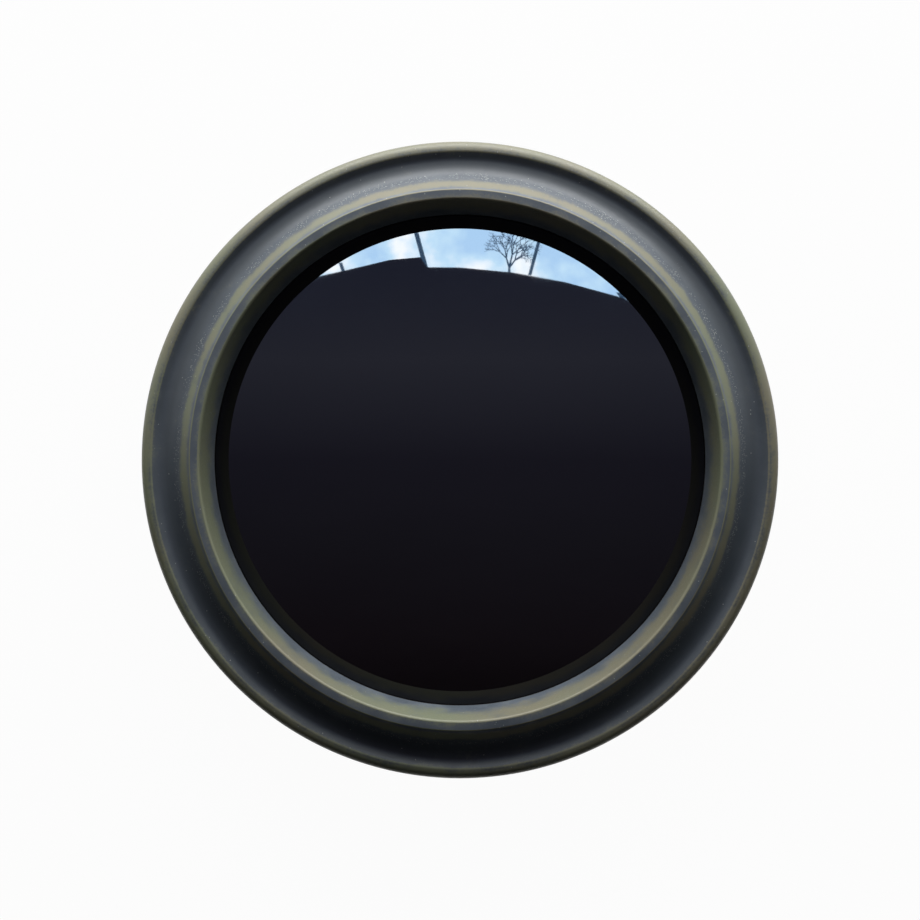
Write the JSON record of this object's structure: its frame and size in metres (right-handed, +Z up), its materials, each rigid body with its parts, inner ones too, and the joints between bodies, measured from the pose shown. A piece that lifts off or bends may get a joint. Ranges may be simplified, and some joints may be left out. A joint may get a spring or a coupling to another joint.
{
  "type": "deck hatch",
  "caption": "Round opening deck hatch: bronze frame and hinged lid with a ridge, hollow trough and lip round a deep-set smoked acrylic lens, latched by hand dogs.",
  "frame": {"origin": "centre of the hatch at the underside of the interior trim ring, the lowest face", "axes": "+Z up out of the deck, +Y towards the hinge, +X to the right seen from above with the hinge at the top"},
  "size_m": [0.3, 0.3, 0.0575],
  "materials": {
    "bronze": "dark patina, olive-brown where worn, satin",
    "acrylic": "smoked cast acrylic, polished",
    "rubber": "black EPDM, matte",
    "steel": "stainless steel, satin",
    "acetal": "white acetal"
  },
  "bodies": {
    "frame": {"base_frame": "bronze", "deck_seal": "rubber", "deck_screw_1": "steel", "deck_screw_2": "steel", "deck_screw_3": "steel", "deck_screw_4": "steel", "deck_screw_5": "steel", "deck_screw_6": "steel", "deck_screw_7": "steel", "deck_screw_8": "steel", "trim_ring": "bronze", "trim_screw_1": "steel", "trim_screw_2": "steel", "trim_screw_3": "steel", "trim_screw_4": "steel", "trim_screw_5": "steel", "trim_screw_6": "steel", "keeper_left": "steel", "keeper_screw_left_1": "steel", "keeper_screw_left_2": "steel", "hinge_pin_left": "steel", "hinge_clip_left": "steel", "keeper_right": "steel", "keeper_screw_right_1": "steel", "keeper_screw_right_2": "steel", "hinge_pin_right": "steel", "hinge_clip_right": "steel"},
    "lid": {"lid_ring": "bronze", "lens": "acrylic", "lens_seal": "rubber", "lens_retainer": "bronze", "retainer_screw_1": "steel", "retainer_screw_2": "steel", "retainer_screw_3": "steel", "retainer_screw_4": "steel", "retainer_screw_5": "steel", "retainer_screw_6": "steel", "retainer_screw_7": "steel", "retainer_screw_8": "steel", "lid_gasket": "rubber", "hinge_bush_left": "acetal", "dog_spindle_left": "steel", "dog_washer_left": "steel", "hinge_bush_right": "acetal", "dog_spindle_right": "steel", "dog_washer_right": "steel"},
    "dog_left": {"dog_lever_left": "bronze", "dog_bush_left": "acetal"},
    "dog_right": {"dog_lever_right": "bronze", "dog_bush_right": "acetal"}
  },
  "joints": [
    {"name": "lid_hinge", "type": "hinge", "parent": "frame", "child": "lid", "pos_m": [0, 0.1405, 0.0395], "axis": [-1, 0, 0], "range_deg": [0, 75]},
    {"name": "dog_left_turn", "type": "hinge", "parent": "lid", "child": "dog_left", "pos_m": [-0.08764, -0.07354, 0.01145], "axis": [0, 0, -1], "range_deg": [0, 80]},
    {"name": "dog_right_turn", "type": "hinge", "parent": "lid", "child": "dog_right", "pos_m": [0.08764, -0.07354, 0.01145], "axis": [0, 0, 1], "range_deg": [0, 80]}
  ]
}
